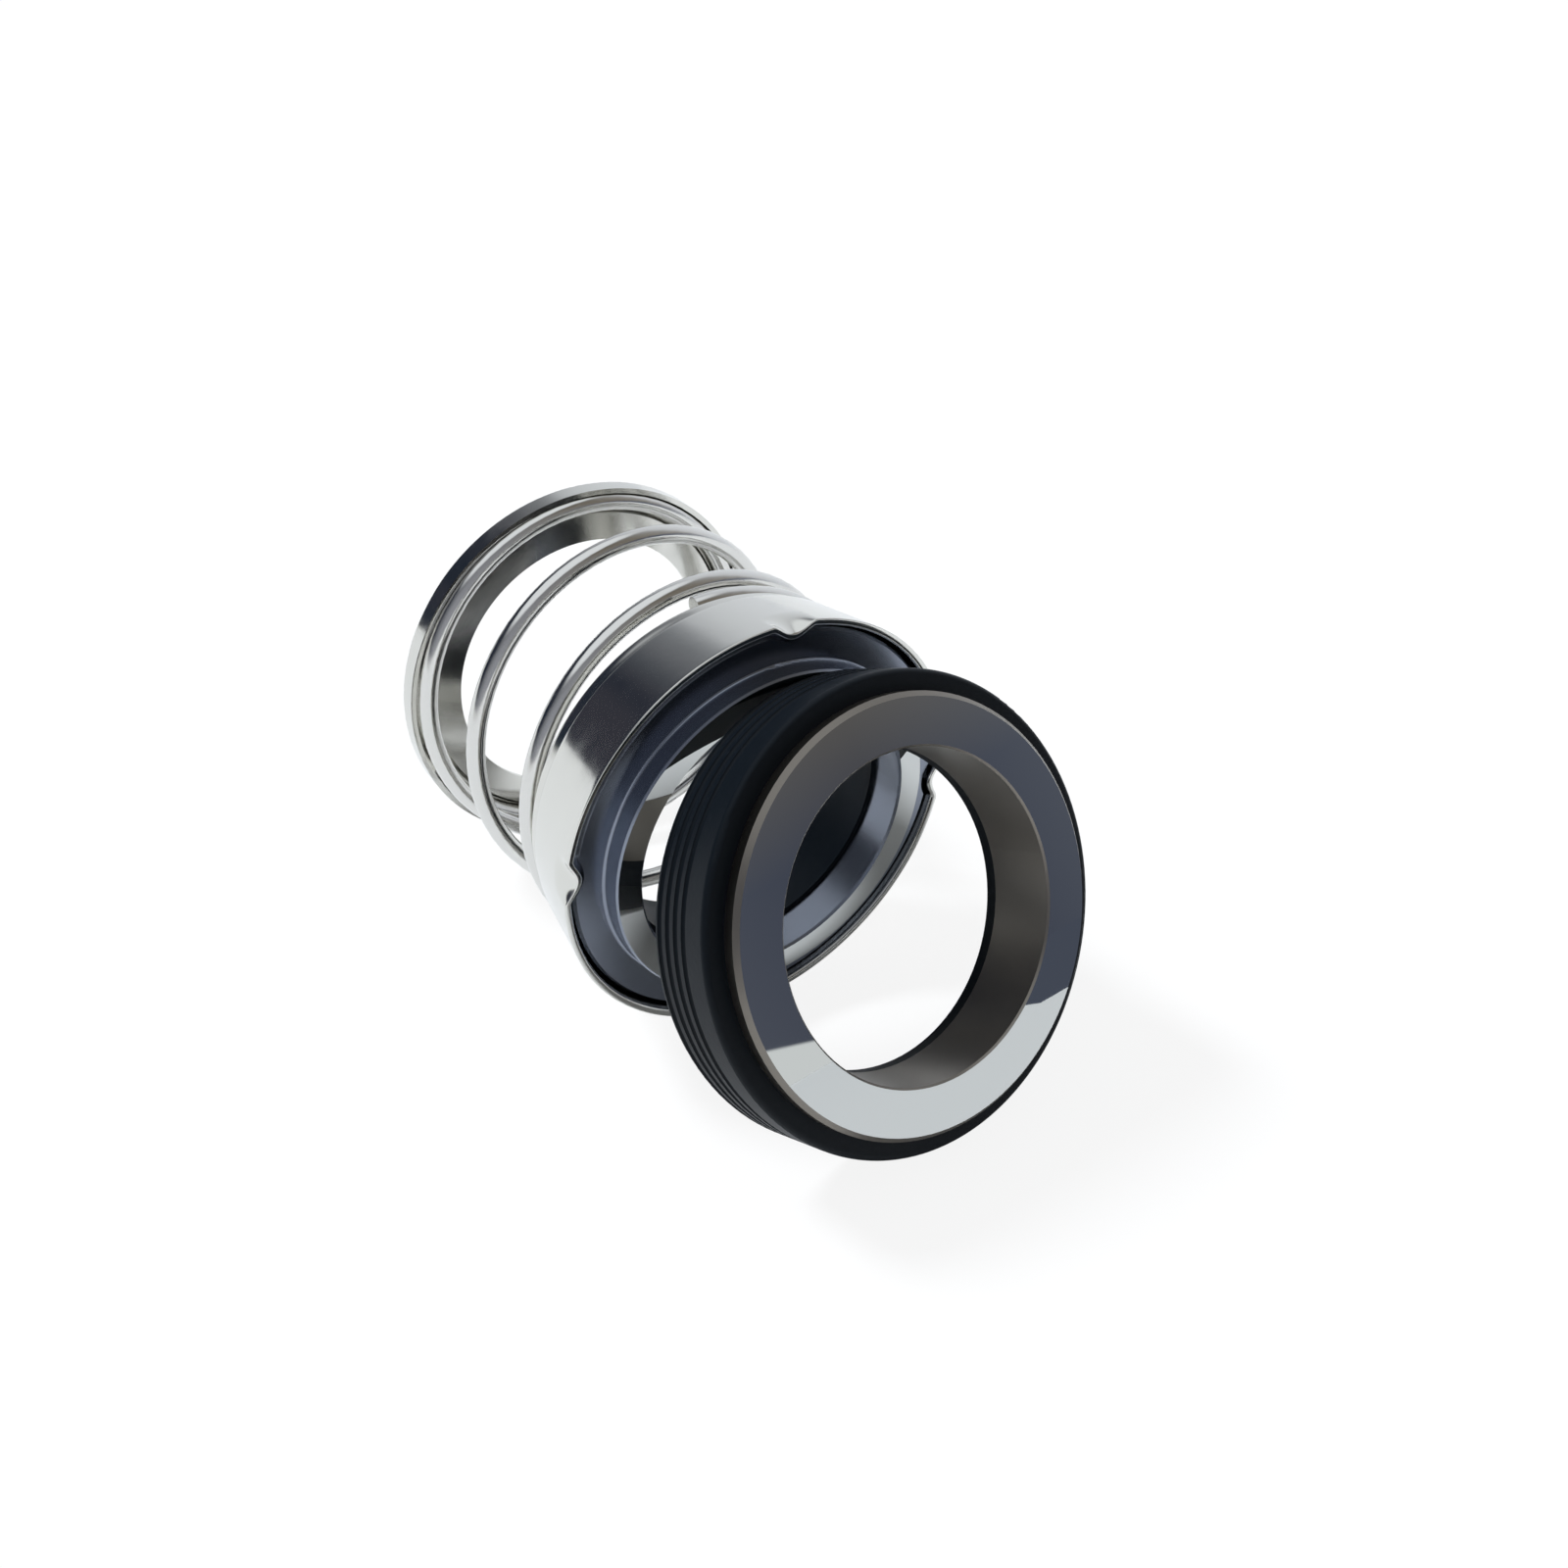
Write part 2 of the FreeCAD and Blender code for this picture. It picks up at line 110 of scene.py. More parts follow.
def rough_patches(tree, shader, patch, low, high):
    """Let a shader's roughness wander between two values over patches of a real size."""
    place = add_node(tree, "ShaderNodeTexCoord", {}, {})
    cloud = add_node(tree, "ShaderNodeTexNoise", {"Scale": 1 / patch, "Detail": 4.0},
                     {"Vector": place.outputs["Object"]})
    span = add_node(tree, "ShaderNodeMapRange",
                    {"From Min": NOISE_LOW, "From Max": NOISE_HIGH, "To Min": low, "To Max": high},
                    {"Value": cloud.outputs["Fac"]})
    tree.links.new(span.outputs["Result"], shader.inputs["Roughness"])


def grain(tree, shader, size, depth):
    """Raise a shader's surface by a fine random grain of a real size and depth."""
    place = add_node(tree, "ShaderNodeTexCoord", {}, {})
    speck = add_node(tree, "ShaderNodeTexNoise", {"Scale": 1 / size, "Detail": 2.0},
                     {"Vector": place.outputs["Object"]})
    bump = add_node(tree, "ShaderNodeBump", {"Strength": 1.0, "Distance": depth},
                    {"Height": speck.outputs["Fac"]})
    tree.links.new(bump.outputs["Normal"], shader.inputs["Normal"])


LAP_HAZE = 6 * MM
GRIND_GRAIN = 0.35 * MM
GRIND_DEPTH = 0.0015 * MM
LAPPED_DEPTH = 0.1 * MM
SQUARE_ON = 0.99

# Lapped tungsten carbide is a grey metal mirror with hardly any haze.
lapped_carbide, lapped_tree, lapped_shader = new_finish(
    "lapped tungsten carbide", {"Base Color": linear("#C6C8C6"), "Metallic": 1.0})
rough_patches(lapped_tree, lapped_shader, LAP_HAZE, low=0.004, high=0.016)

# Ground tungsten carbide is satin, with a grain too fine to see: it is drawn a few times coarser.
# Its colour, darker and bluer than the lapped face, is painted shade.
ground_carbide_with_painted_shade, painted_shade_ground_tree, painted_shade_ground_shader = new_finish(
    "ground tungsten carbide with painted shade", {"Base Color": linear("#868C98"), "Metallic": 1.0, "Roughness": 0.26})
grain(painted_shade_ground_tree, painted_shade_ground_shader, GRIND_GRAIN, GRIND_DEPTH)

# As it comes from the sintering furnace it is duller. Its colour is darker and warmer, and the darkness is
# painted shade.
sintered_carbide_with_painted_shade, painted_shade_sintered_tree, painted_shade_sintered_shader = new_finish(
    "sintered tungsten carbide with painted shade", {"Base Color": linear("#7F7A73"), "Metallic": 1.0, "Roughness": 0.36})
grain(painted_shade_sintered_tree, painted_shade_sintered_shader, GRIND_GRAIN, GRIND_DEPTH)


def paint_ring(node, facing, sides):
    """One finish all over a hard ring, and the lapped finish on its foremost face."""
    mesh = nodes[node].data
    mesh.materials.clear()
    mesh.materials.append(sides)
    mesh.materials.append(lapped_carbide)
    foremost = max(corner.co.dot(facing) for corner in mesh.vertices)
    for polygon in mesh.polygons:
        in_front = polygon.center.dot(facing) > foremost - LAPPED_DEPTH
        polygon.material_index = 1 if in_front and polygon.normal.dot(facing) > SQUARE_ON else 0


paint_ring("seal_ring", Vector((0, -1, 0)), ground_carbide_with_painted_shade)

# Retainer shell: deep-drawn stainless sheet, polished bright, with four drive dents pressed in at its rim.
# Drawing and polishing leave a soft ripple.
POLISH_PATCH = 3 * MM
DRAW_RIPPLE = 2.2 * MM
DRAW_DEPTH = 0.006 * MM

# Polished stainless steel is a warm bright mirror with slight waves.
polished_stainless, polished_tree, polished_shader = new_finish(
    "polished drawn stainless", {"Base Color": linear("#DAD9D3"), "Metallic": 1.0})
rough_patches(polished_tree, polished_shader, POLISH_PATCH, low=0.1, high=0.17)
grain(polished_tree, polished_shader, DRAW_RIPPLE, DRAW_DEPTH)


SHEET = 0.8 * MM
WALL_LENGTH = 9.25 * MM
WALL_DRAFT = 1.6 * MM
JOGGLE_RUN = 0.4 * MM
JOGGLE_DEPTH = 0.5 * MM
JOGGLE_BEND = JOGGLE_RUN / 3
FLOOR_HOLE = 16.7 * MM
SHEET_EDGE = 0.18 * MM
RIM_LEAD = 0.42 * MM
OUTER_BEND = 0.5 * MM
INNER_BEND = 0.25 * MM
SECTION_STEP = 0.4 * MM
DENTS = 4
DENT_SPACING = 2 * math.pi / DENTS
DENT_TURN = math.radians(6.5)
DENT_DEPTH = 1.3 * MM
DENT_HALF_WIDTH = 2.6 * MM
DENT_LENGTH = 2.9 * MM
DENT_ROUNDNESS = 1.5
DENT_SLOPE = 1.3
DENT_MARGIN = 1.2
DENT_STEPS = 36
BETWEEN_STEPS = 70

shell_low, shell_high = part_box("retainer_shell")
rim, floor_back = shell_low.y, shell_high.y
rim_radius = shell_high.x
wall_end = rim + WALL_LENGTH
end_radius = rim_radius - WALL_DRAFT
band_radius = end_radius - JOGGLE_DEPTH


def rounded_loop(corners, arc_steps=5):
    """Closed outline of (radius, station) points from (radius, station, rounding) corners."""
    points = []
    for number, (radius, station, rounding) in enumerate(corners):
        here = Vector((radius, station))
        before = Vector(corners[number - 1][:2])
        after = Vector(corners[(number + 1) % len(corners)][:2])
        start = here + (before - here).normalized() * rounding
        end = here + (after - here).normalized() * rounding
        for step in range(arc_steps + 1):
            share = step / arc_steps
            points.append(start.lerp(here, share).lerp(here.lerp(end, share), share))
    full = []
    for number, point in enumerate(points):
        following = points[(number + 1) % len(points)]
        parts = max(1, round((following - point).length / SECTION_STEP))
        full += [point.lerp(following, part / parts) for part in range(parts)]
    return full


shell_section = rounded_loop([
    (rim_radius - SHEET, rim, RIM_LEAD),
    (rim_radius, rim, SHEET_EDGE),
    (end_radius, wall_end, JOGGLE_BEND),
    (band_radius, wall_end + JOGGLE_RUN, JOGGLE_BEND),
    (band_radius, floor_back, OUTER_BEND),
    (FLOOR_HOLE, floor_back, SHEET_EDGE),
    (FLOOR_HOLE, floor_back - SHEET, SHEET_EDGE),
    (band_radius - SHEET, floor_back - SHEET, INNER_BEND),
    (band_radius - SHEET, wall_end + JOGGLE_RUN, JOGGLE_BEND),
    (end_radius - SHEET, wall_end, JOGGLE_BEND),
])


def dent_push(around, station):
    """How far the drive dents press the wall inwards at an angle from the top and a station."""
    off = (around - DENT_TURN + DENT_SPACING / 2) % DENT_SPACING - DENT_SPACING / 2
    across = max(0.0, 1 - (off * rim_radius / DENT_HALF_WIDTH) ** 2)
    along = max(0.0, 1 - (station - rim) / DENT_LENGTH)
    return DENT_DEPTH * across ** DENT_ROUNDNESS * along ** DENT_SLOPE


def angles_around():
    """Angles for the shell's sections, close together over the dents and wider between them."""
    angles = []
    half_dent = DENT_MARGIN * DENT_HALF_WIDTH / rim_radius
    plain = DENT_SPACING - 2 * half_dent
    for dent in range(DENTS):
        middle = DENT_TURN + dent * DENT_SPACING
        angles += [middle - half_dent + 2 * half_dent * step / DENT_STEPS for step in range(DENT_STEPS)]
        angles += [middle + half_dent + plain * step / BETWEEN_STEPS for step in range(BETWEEN_STEPS)]
    return angles


def turned_mesh(name, section, angles, push):
    """Object swept round the Y axis from a closed section, its radius lessened by push(angle, station)."""
    corners, faces = [], []
    for angle in angles:
        for radius, station in section:
            reach = radius - push(angle, station)
            corners.append((reach * math.sin(angle), station, reach * math.cos(angle)))
    count = len(section)
    for turn in range(len(angles)):
        ahead = (turn + 1) % len(angles)
        for place in range(count):
            beside = (place + 1) % count
            faces.append((turn * count + place, ahead * count + place,
                          ahead * count + beside, turn * count + beside))
    mesh = bpy.data.meshes.new(name)
    mesh.from_pydata(corners, [], faces)
    mesh.shade_smooth()
    shaped = bpy.data.objects.new(name, mesh)
    bpy.context.scene.collection.objects.link(shaped)
    return shaped


stamped_shell = turned_mesh("stamped_shell", shell_section, angles_around(), dent_push)
stamped_shell.data.materials.append(polished_stainless)
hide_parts("retainer_shell")
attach(stamped_shell, "sealing_parts")

# Rubber boot: a moulded black rubber bellows that grips the shaft inside the shell and pushes the seal ring.
# Moulded rubber is near black, with a low even sheen.
MOULD_GRAIN = 0.5 * MM
MOULD_DEPTH = 0.01 * MM

moulded_rubber, rubber_tree, rubber_shader = new_finish(
    "moulded black rubber",
    {"Base Color": linear("#0D1319"), "Roughness": 0.45, "IOR": 1.5, "Specular IOR Level": 0.15})
grain(rubber_tree, rubber_shader, MOULD_GRAIN, MOULD_DEPTH)


def paint(node, finish):
    """One finish all over a node."""
    nodes[node].data.materials.clear()
    nodes[node].data.materials.append(finish)


paint("rubber_boot", moulded_rubber)

# Coil spring: one length of bright stainless wire, wound right-handed, with closed ends that are not ground.
# Its closed turns bear on the shell's floor and in the spring ring, and the open turns between them close up.
WIRE = 2.1 * MM
ACTIVE_TURNS = 2.625
BACK_CLOSED_TURNS = 0.5
FRONT_CLOSED_TURNS = 0.56
BACK_EASING_TURNS = 0.64
FRONT_EASING_TURNS = 0.3
LIFT_OFF = math.radians(63)
STEPS_PER_TURN = 72
DIE_PATCH = 1.5 * MM

coil_low, coil_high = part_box("coil_spring")
front = coil_low.y + WIRE / 2
back = coil_high.y - WIRE / 2
coil_radius = coil_high.x - WIRE / 2
pitch = (back - front) / (ACTIVE_TURNS - BACK_EASING_TURNS / 2 - FRONT_EASING_TURNS / 2)


def wire_station(turn):
    """Where the middle of the wire is along the axis, so many turns after it leaves the spring ring."""
    if turn <= 0:
        return back
    if turn < BACK_EASING_TURNS:
        return back - pitch * turn * turn / (2 * BACK_EASING_TURNS)
    if turn < ACTIVE_TURNS - FRONT_EASING_TURNS:
        return back - pitch * (turn - BACK_EASING_TURNS / 2)
    if turn < ACTIVE_TURNS:
        return front + pitch * (ACTIVE_TURNS - turn) ** 2 / (2 * FRONT_EASING_TURNS)
    return front


wire_line = bpy.data.curves.new("coil_spring_wire", "CURVE")
wire_line.dimensions = "3D"
wire_line.bevel_depth = WIRE / 2
wire_line.bevel_resolution = 8
wire_line.use_fill_caps = True
all_turns = BACK_CLOSED_TURNS + ACTIVE_TURNS + FRONT_CLOSED_TURNS
steps = round(all_turns * STEPS_PER_TURN)
wire_run = wire_line.splines.new("POLY")
wire_run.points.add(steps)
for step, point in enumerate(wire_run.points):
    turn = all_turns * step / steps - BACK_CLOSED_TURNS
    around = 2 * math.pi * turn - LIFT_OFF
    point.co = (-coil_radius * math.sin(around), wire_station(turn), coil_radius * math.cos(around), 1)
wire_shape = bpy.data.objects.new("wire_shape", wire_line)
bpy.context.scene.collection.objects.link(wire_shape)
bpy.context.view_layer.update()
coil_mesh = bpy.data.meshes.new_from_object(wire_shape.evaluated_get(bpy.context.evaluated_depsgraph_get()))
bpy.data.objects.remove(wire_shape)
coil = bpy.data.objects.new("spring_wire", coil_mesh)
bpy.context.scene.collection.objects.link(coil)
for polygon in coil_mesh.polygons:
    polygon.use_smooth = len(polygon.vertices) == 4

# Drawn stainless wire is bright, with fine die marks along it that blur its reflections a little.
drawn_wire, wire_tree, wire_shader = new_finish(
    "drawn stainless wire", {"Base Color": linear("#DBDAD6"), "Metallic": 1.0})
rough_patches(wire_tree, wire_shader, DIE_PATCH, low=0.12, high=0.2)
coil_mesh.materials.clear()
coil_mesh.materials.append(drawn_wire)
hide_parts("coil_spring")
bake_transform(coil)

# Spring ring: a shallow ring pressed from thin stainless sheet. The last turn of wire lies in its channel,
# against the raised land, and its flat back takes the spring's push on the shaft.
paint("spring_ring", polished_stainless)

# Seat ring: the still ring of the pair, of the same carbide. Its face is lapped, and its bore and its
# chamfered edge are left as sintered, darker with painted shade.
seat_mount = [mount for mount in frame["record"]["mounts"] if mount["name"] == "seat_bore"][0]
paint_ring("seat_ring", Vector(seat_mount["axis"]).normalized(), sintered_carbide_with_painted_shade)

# Rubber cup: moulded black rubber round and behind the seat ring, a press fit in the pump's housing. Four
# fine grooves run round it near its back.
paint("seat_rubber_cup", moulded_rubber)

# Floor: a white board level with the lowest point of the head. Looked at straight it is white and keeps a
# faint shadow. The metal sees it as a lit board that leaves a corner of dark table bare, far in front to
# the right, and to the rest of the light it is pale board.
FLOOR_REACH = 4.0
WHITE_SHARE = 0.88
SHADOW_SHARE = 0.14
EDGE_HEADING = 145.2
EDGE_SIDE = 31 * MM
EDGE_AWAY = 390 * MM
EDGE_SPREAD = 0.35

bpy.ops.mesh.primitive_plane_add(size=2 * FLOOR_REACH, location=(0, 0, cad_box[0].z))
floor = bpy.context.object
floor.name = "floor"
pale_board = bpy.data.materials.new("pale board")
pale_board.use_nodes = True
board_tree = pale_board.node_tree
board_tree.nodes.clear()


def level_heading(azimuth):
    """Level direction at an azimuth. Azimuth 0 is towards +Y and 90 towards +X."""
    turn = math.radians(azimuth)
    return (math.sin(turn), math.cos(turn), 0)


# Where the board ends: past its long edge to the right and past its far edge, in a widening corner.
board_place = add_node(board_tree, "ShaderNodeTexCoord", {}, {})
to_side = add_node(board_tree, "ShaderNodeVectorMath",
                   {"operation": "DOT_PRODUCT", 1: level_heading(EDGE_HEADING - 90)},
                   {0: board_place.outputs["Object"]})
away = add_node(board_tree, "ShaderNodeVectorMath",
                {"operation": "DOT_PRODUCT", 1: level_heading(EDGE_HEADING)},
                {0: board_place.outputs["Object"]})
past_side = add_node(board_tree, "ShaderNodeMath", {"operation": "GREATER_THAN", 1: EDGE_SIDE},
                     {0: to_side.outputs["Value"]})
past_end = add_node(board_tree, "ShaderNodeMath", {"operation": "GREATER_THAN", 1: EDGE_AWAY},
                    {0: away.outputs["Value"]})
side_share = add_node(board_tree, "ShaderNodeMath", {"operation": "DIVIDE"},
                      {0: to_side.outputs["Value"], 1: away.outputs["Value"]})
within_spread = add_node(board_tree, "ShaderNodeMath", {"operation": "LESS_THAN", 1: EDGE_SPREAD},
                         {0: side_share.outputs["Value"]})
past_both = add_node(board_tree, "ShaderNodeMath", {"operation": "MULTIPLY"},
                     {0: past_side.outputs["Value"], 1: past_end.outputs["Value"]})
off_board = add_node(board_tree, "ShaderNodeMath", {"operation": "MULTIPLY"},
                     {0: past_both.outputs["Value"], 1: within_spread.outputs["Value"]})

# White board and dark table as the metal sees them.
lit_board = add_node(board_tree, "ShaderNodeBsdfDiffuse", {"Color": linear("#FFFFFF")}, {})
table = add_node(board_tree, "ShaderNodeEmission", {"Color": linear("#575D6D"), "Strength": 1.0}, {})
mirrored = add_node(board_tree, "ShaderNodeMixShader", {},
                    {0: off_board.outputs["Value"], 1: lit_board.outputs[0], 2: table.outputs[0]})

# White board as the camera sees it: most of it glows, and the rest takes light and shadow.
glow = add_node(board_tree, "ShaderNodeEmission", {"Color": linear("#FFFFFF"), "Strength": WHITE_SHARE}, {})
shadowed = add_node(board_tree, "ShaderNodeBsdfDiffuse",
                    {"Color": (SHADOW_SHARE, SHADOW_SHARE, SHADOW_SHARE, 1)}, {})
seen_board = add_node(board_tree, "ShaderNodeAddShader", {}, {0: glow.outputs[0], 1: shadowed.outputs[0]})

board = add_node(board_tree, "ShaderNodeBsdfDiffuse", {"Color": linear("#E4E4E2")}, {})
ray = add_node(board_tree, "ShaderNodeLightPath", {}, {})
looked_at = add_node(board_tree, "ShaderNodeMath", {"operation": "MAXIMUM"},
                     {0: ray.outputs["Is Camera Ray"], 1: ray.outputs["Is Transmission Ray"]})
unlooked = add_node(board_tree, "ShaderNodeMixShader", {},
                    {0: ray.outputs["Is Glossy Ray"], 1: board.outputs[0], 2: mirrored.outputs[0]})
shown = add_node(board_tree, "ShaderNodeMixShader", {},
                 {0: looked_at.outputs["Value"], 1: unlooked.outputs[0], 2: seen_board.outputs[0]})
add_node(board_tree, "ShaderNodeOutputMaterial", {}, {"Surface": shown.outputs[0]})
floor.data.materials.append(pale_board)

# Room: white where the camera looks past the floor. The metal sees a white sweep up to about the level, a
# dark blue-grey studio over it that is paler in front and to the left, a tall window to the right and a
# soft box overhead. Everything else gets soft even light.
EVEN_LIGHT = 0.3
CLUTTER_SCALE = 3.0
CLUTTER_DETAIL = 3.0
CLUTTER_SPAN = (0.4, 0.65)
FRONT_HEADING = 140
FRONT_SPAN = (-0.5, 0.85)
FRONT_RISE = (0.11, 0.22)
LEFT_HEADING = 220
LEFT_SPAN = (0.2, 0.95)
WINDOW_HEADING = 65
WINDOW_STOPS = ((0.24, 0.0), (0.38, 0.1), (0.52, 0.21), (0.585, 0.34),
                (0.645, 0.62), (0.73, 0.77), (1.0, 1.0))
BOX_HEADING = -30
BOX_LEAN = math.radians(10)
BOX_START = math.radians(44)
BOX_FULL = math.radians(58)
SWEEP_SPAN = (-0.0645, 0.16)
SWEEP_TOP = (-0.02, 0.05)
SWEEP_BLUR = 0.001

# Sockets of a Mix node that mixes colours.
COLOUR_A = 6
COLOUR_B = 7
MIXED_COLOUR = 2

world = bpy.data.worlds.new("studio")
bpy.context.scene.world = world
world.use_nodes = True
room = world.node_tree
room.nodes.clear()
heading = add_node(room, "ShaderNodeTexCoord", {}, {})
height = add_node(room, "ShaderNodeSeparateXYZ", {}, {"Vector": heading.outputs["Generated"]})

# Dark studio with vague clutter.
clutter = add_node(room, "ShaderNodeTexNoise", {"Scale": CLUTTER_SCALE, "Detail": CLUTTER_DETAIL},
                   {"Vector": heading.outputs["Generated"]})
clutter_share = add_node(room, "ShaderNodeMapRange",
                         {"From Min": CLUTTER_SPAN[0], "From Max": CLUTTER_SPAN[1]},
                         {"Value": clutter.outputs["Fac"]})
dark_studio = add_node(room, "ShaderNodeMix",
                       {"data_type": "RGBA", COLOUR_A: linear("#212A38"), COLOUR_B: linear("#3B3C46")},
                       {0: clutter_share.outputs["Result"]})

# Front of the studio, a little paler and warmer higher up.
to_front = add_node(room, "ShaderNodeVectorMath",
                    {"operation": "DOT_PRODUCT", 1: level_heading(FRONT_HEADING)},
                    {0: heading.outputs["Generated"]})
front_share = add_node(room, "ShaderNodeMapRange", {"From Min": FRONT_SPAN[0], "From Max": FRONT_SPAN[1]},
                       {"Value": to_front.outputs["Value"]})
front_rise = add_node(room, "ShaderNodeMapRange", {"From Min": FRONT_RISE[0], "From Max": FRONT_RISE[1]},
                      {"Value": height.outputs["Z"]})
front_tint = add_node(room, "ShaderNodeMix",
                      {"data_type": "RGBA", COLOUR_A: linear("#474D5F"), COLOUR_B: linear("#7D776E")},
                      {0: front_rise.outputs["Result"]})
with_front = add_node(room, "ShaderNodeMix", {"data_type": "RGBA"},
                      {0: front_share.outputs["Result"], COLOUR_A: dark_studio.outputs[MIXED_COLOUR],
                       COLOUR_B: front_tint.outputs[MIXED_COLOUR]})

# Pale wall to the left in front.
to_left = add_node(room, "ShaderNodeVectorMath",
                   {"operation": "DOT_PRODUCT", 1: level_heading(LEFT_HEADING)},
                   {0: heading.outputs["Generated"]})
left_share = add_node(room, "ShaderNodeMapRange", {"From Min": LEFT_SPAN[0], "From Max": LEFT_SPAN[1]},
                      {"Value": to_left.outputs["Value"]})
with_left = add_node(room, "ShaderNodeMix", {"data_type": "RGBA", COLOUR_B: linear("#9A9DA6")},
                     {0: left_share.outputs["Result"], COLOUR_A: with_front.outputs[MIXED_COLOUR]})

# Tall window to the right, brightest in its middle.
to_window = add_node(room, "ShaderNodeVectorMath",
                     {"operation": "DOT_PRODUCT", 1: level_heading(WINDOW_HEADING)},
                     {0: heading.outputs["Generated"]})
window_share = add_node(room, "ShaderNodeValToRGB", {}, {"Fac": to_window.outputs["Value"]})
window_steps = window_share.color_ramp.elements
window_steps[0].position = WINDOW_STOPS[0][0]
window_steps[-1].position = WINDOW_STOPS[-1][0]
for stop in WINDOW_STOPS[1:-1]:
    window_steps.new(stop[0])
for step, (place, share) in zip(window_steps, WINDOW_STOPS):
    step.color = (share, share, share, 1)
with_window = add_node(room, "ShaderNodeMix", {"data_type": "RGBA", COLOUR_B: linear("#F2F7FF")},
                       {0: window_share.outputs["Color"], COLOUR_A: with_left.outputs[MIXED_COLOUR]})

# Soft box overhead, which leans to the back.
box_level = Vector(level_heading(BOX_HEADING)) * math.sin(BOX_LEAN)
to_box = add_node(room, "ShaderNodeVectorMath",
                  {"operation": "DOT_PRODUCT", 1: (box_level.x, box_level.y, math.cos(BOX_LEAN))},
                  {0: heading.outputs["Generated"]})
box_share = add_node(room, "ShaderNodeMapRange",
                     {"interpolation_type": "SMOOTHSTEP", "From Min": math.sin(BOX_START),
                      "From Max": math.sin(BOX_FULL)},
                     {"Value": to_box.outputs["Value"]})
with_box = add_node(room, "ShaderNodeMix", {"data_type": "RGBA", COLOUR_B: linear("#F4F9FF")},
                    {0: box_share.outputs["Result"], COLOUR_A: with_window.outputs[MIXED_COLOUR]})

# White sweep, whose top edge rises to the left of the board's edge.
along_sweep = add_node(room, "ShaderNodeVectorMath",
                       {"operation": "DOT_PRODUCT", 1: level_heading(EDGE_HEADING + 90)},
                       {0: heading.outputs["Generated"]})
sweep_top = add_node(room, "ShaderNodeMapRange",
                     {"From Min": SWEEP_SPAN[0], "From Max": SWEEP_SPAN[1],
                      "To Min": SWEEP_TOP[0], "To Max": SWEEP_TOP[1]},
                     {"Value": along_sweep.outputs["Value"]})
over_sweep = add_node(room, "ShaderNodeMath", {"operation": "SUBTRACT"},
                      {0: height.outputs["Z"], 1: sweep_top.outputs["Result"]})
over_share = add_node(room, "ShaderNodeMapRange", {"From Min": -SWEEP_BLUR, "From Max": SWEEP_BLUR},
                      {"Value": over_sweep.outputs["Value"]})
with_sweep = add_node(room, "ShaderNodeMix", {"data_type": "RGBA", COLOUR_A: linear("#FAFDFF")},
                      {0: over_share.outputs["Result"], COLOUR_B: with_box.outputs[MIXED_COLOUR]})

mirrored_room = add_node(room, "ShaderNodeBackground", {"Strength": 1.0},
                         {"Color": with_sweep.outputs[MIXED_COLOUR]})
white_room = add_node(room, "ShaderNodeBackground", {"Color": linear("#FFFFFF"), "Strength": 1.0}, {})
soft_room = add_node(room, "ShaderNodeBackground", {"Color": linear("#F4F7FA"), "Strength": EVEN_LIGHT}, {})
room_ray = add_node(room, "ShaderNodeLightPath", {}, {})
unlooked_room = add_node(room, "ShaderNodeMixShader", {},
                         {0: room_ray.outputs["Is Glossy Ray"], 1: soft_room.outputs[0],
                          2: mirrored_room.outputs[0]})
looked_past = add_node(room, "ShaderNodeMath", {"operation": "MAXIMUM"},
                       {0: room_ray.outputs["Is Camera Ray"], 1: room_ray.outputs["Is Transmission Ray"]})
shown_room = add_node(room, "ShaderNodeMixShader", {},
                      {0: looked_past.outputs["Value"], 1: unlooked_room.outputs[0],
                       2: white_room.outputs[0]})
add_node(room, "ShaderNodeOutputWorld", {}, {"Surface": shown_room.outputs[0]})


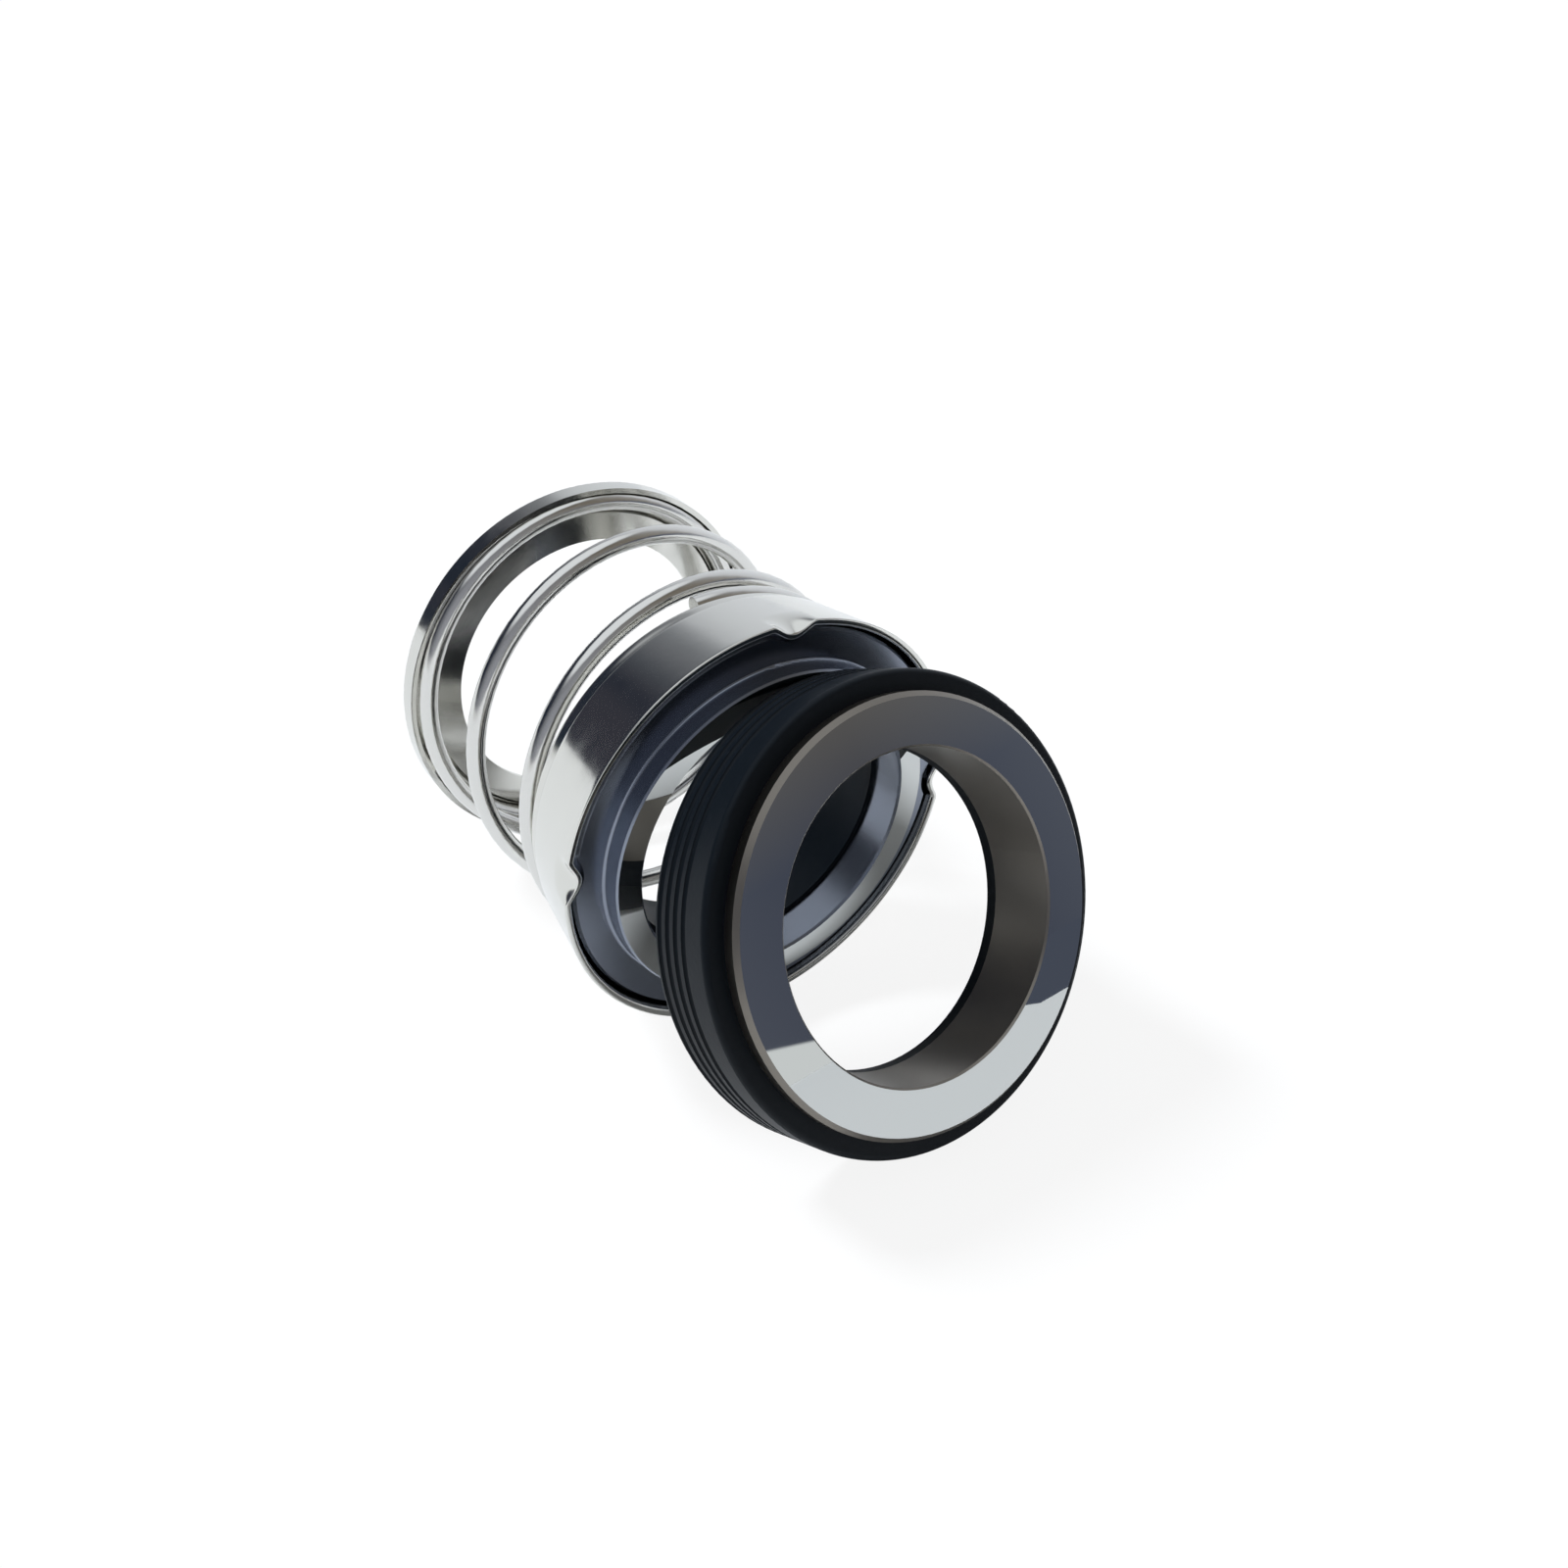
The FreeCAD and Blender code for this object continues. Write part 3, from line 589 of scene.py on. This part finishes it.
# Lamps: a far one high behind the head to its left, which casts the shadows, and a weak wide one in front.
# Neither shows in the metal.
def place_from(azimuth, elevation, distance, aim):
    """Point at a distance from aim, with azimuths as in level_heading."""
    turn = math.radians(azimuth)
    rise = math.radians(elevation)
    level = math.cos(rise)
    return aim + distance * Vector((math.sin(turn) * level, math.cos(turn) * level, math.sin(rise)))


BACK_LAMP_PLACE = (-33, 50, 0.6)
BACK_LAMP_POWER = 3.0
BACK_LAMP_ANGLE = math.radians(12)
FRONT_LAMP_PLACE = (215, 60, 0.8)
FRONT_LAMP_POWER = 0.2
FRONT_LAMP_SIZE = 0.6
head_middle = Vector((0, 10 * MM, 0))

back_lamp = bpy.data.lights.new("high back lamp", "SUN")
back_lamp.energy = BACK_LAMP_POWER
back_lamp.angle = BACK_LAMP_ANGLE
back_lamp.color = linear("#F4F9FF")[:3]
front_lamp = bpy.data.lights.new("front fill", "AREA")
front_lamp.shape = "SQUARE"
front_lamp.size = FRONT_LAMP_SIZE
front_lamp.energy = FRONT_LAMP_POWER
for lamp, lamp_place in ((back_lamp, BACK_LAMP_PLACE), (front_lamp, FRONT_LAMP_PLACE)):
    holder = bpy.data.objects.new(lamp.name, lamp)
    bpy.context.scene.collection.objects.link(holder)
    holder.location = place_from(*lamp_place, head_middle)
    holder.rotation_euler = (head_middle - holder.location).to_track_quat("-Z", "Y").to_euler()
    holder.visible_camera = False
    holder.visible_glossy = False

# Camera: low over the front left of the set.
CAMERA_AZIMUTH = 180 + 36.24
CAMERA_ELEVATION = 35.57
CAMERA_DISTANCE = 162.1 * MM
CAMERA_ROLL = math.radians(1.93)
CAMERA_LENS = 36.51
AIM = Vector((0, -0.87 * MM, 7.25 * MM))

view = bpy.data.cameras.new("camera")
view.lens = CAMERA_LENS
view.sensor_width = 36
view.clip_start = 5 * MM
camera = bpy.data.objects.new("camera", view)
bpy.context.scene.collection.objects.link(camera)
camera.location = place_from(CAMERA_AZIMUTH, CAMERA_ELEVATION, CAMERA_DISTANCE, AIM)
level_view = (AIM - camera.location).to_track_quat("-Z", "Y")
camera.rotation_euler = (level_view @ Quaternion((0, 0, 1), CAMERA_ROLL)).to_euler()
bpy.context.scene.camera = camera
bpy.context.scene.view_settings.view_transform = "Standard"
